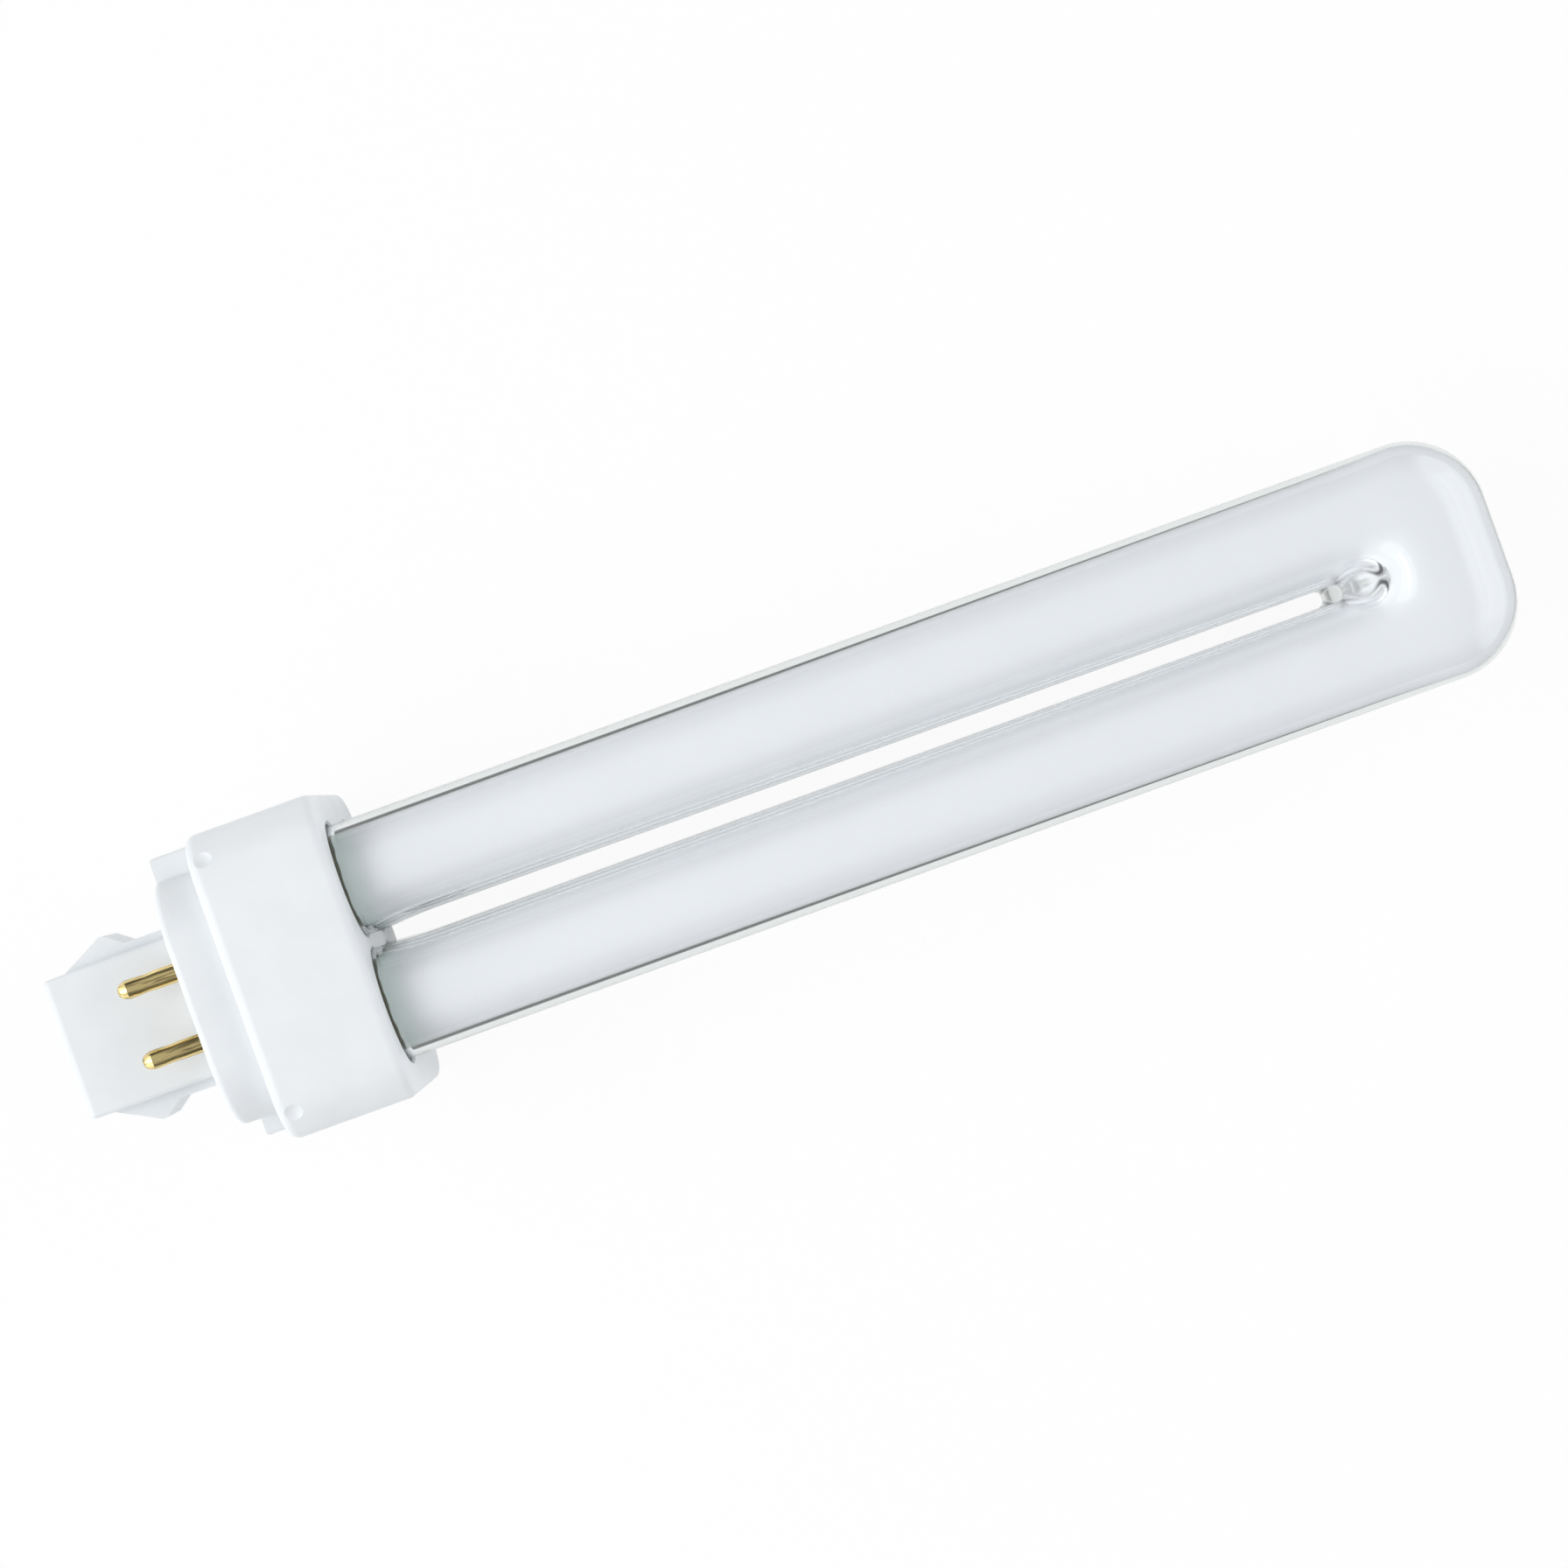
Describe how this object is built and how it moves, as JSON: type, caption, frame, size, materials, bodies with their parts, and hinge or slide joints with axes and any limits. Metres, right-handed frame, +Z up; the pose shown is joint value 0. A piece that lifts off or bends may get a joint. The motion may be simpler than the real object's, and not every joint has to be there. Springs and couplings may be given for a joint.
{
  "type": "compact fluorescent lamp",
  "caption": "Plug-in compact fluorescent lamp: squared glass U-tubes in a square moulded housing, with a keyed plug cap and contact pins.",
  "frame": {"origin": "on the lamp's axis, in the plane where the cap's collar seats on a lampholder", "axes": "+X along the lamp's axis from the plug to the tube tips, Y across the two legs of each U, +Z up as the lamp lies on its side"},
  "size_m": [0.165, 0.0342, 0.0342],
  "materials": {
    "coated_glass": "clear glass, white phosphor coating inside",
    "housing_plastic": "satin white moulded plastic",
    "cap_plastic": "satin white moulded plastic",
    "cement": "matt basing cement",
    "pin_brass": "drawn brass",
    "lead_wire": "bare drawn wire",
    "coated_tungsten": "tungsten coil with a white emitter coating"
  },
  "bodies": {
    "root": {"discharge_tube": "coated_glass", "base_housing": "housing_plastic", "base_cap": "cap_plastic", "basing_cement": "cement", "contact_pin_1": "pin_brass", "contact_pin_2": "pin_brass", "contact_pin_3": "pin_brass", "contact_pin_4": "pin_brass", "lead_wire_1": "lead_wire", "lead_wire_2": "lead_wire", "lead_wire_3": "lead_wire", "lead_wire_4": "lead_wire", "filament_1": "coated_tungsten", "filament_2": "coated_tungsten"}
  },
  "joints": []
}
